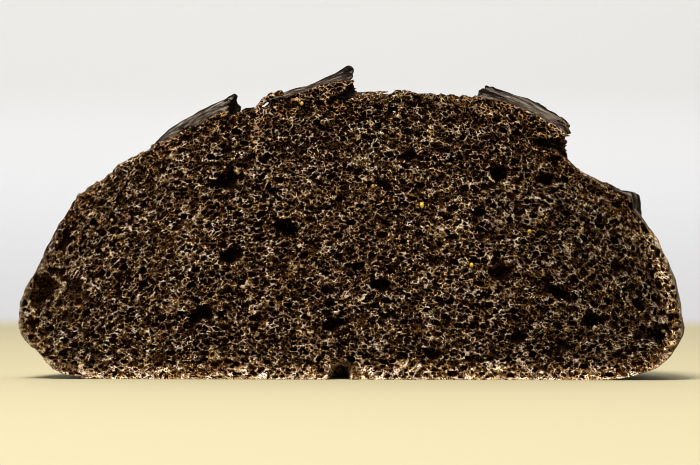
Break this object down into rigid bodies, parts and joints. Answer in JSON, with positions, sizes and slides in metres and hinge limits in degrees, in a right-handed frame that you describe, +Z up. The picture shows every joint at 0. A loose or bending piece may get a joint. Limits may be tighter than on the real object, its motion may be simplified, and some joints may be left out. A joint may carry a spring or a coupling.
{
  "type": "sliced carob bread loaf",
  "caption": "Round hearth loaf of dark carob bread sliced down to its widest part: a flat cut face of open crumb, a slashed crust with lifted flaps and a flat base.",
  "frame": {"origin": "on the surface that the loaf stands on, under the middle of its box", "axes": "+Z up, the cut face looks along -Y, +X to the right as the cut face is seen"},
  "size_m": [0.2166, 0.1098, 0.1021],
  "materials": {
    "bread": "dull, dark brown, open crumb and lightly floured crust"
  },
  "bodies": {
    "root": {"loaf": "bread"}
  },
  "joints": []
}
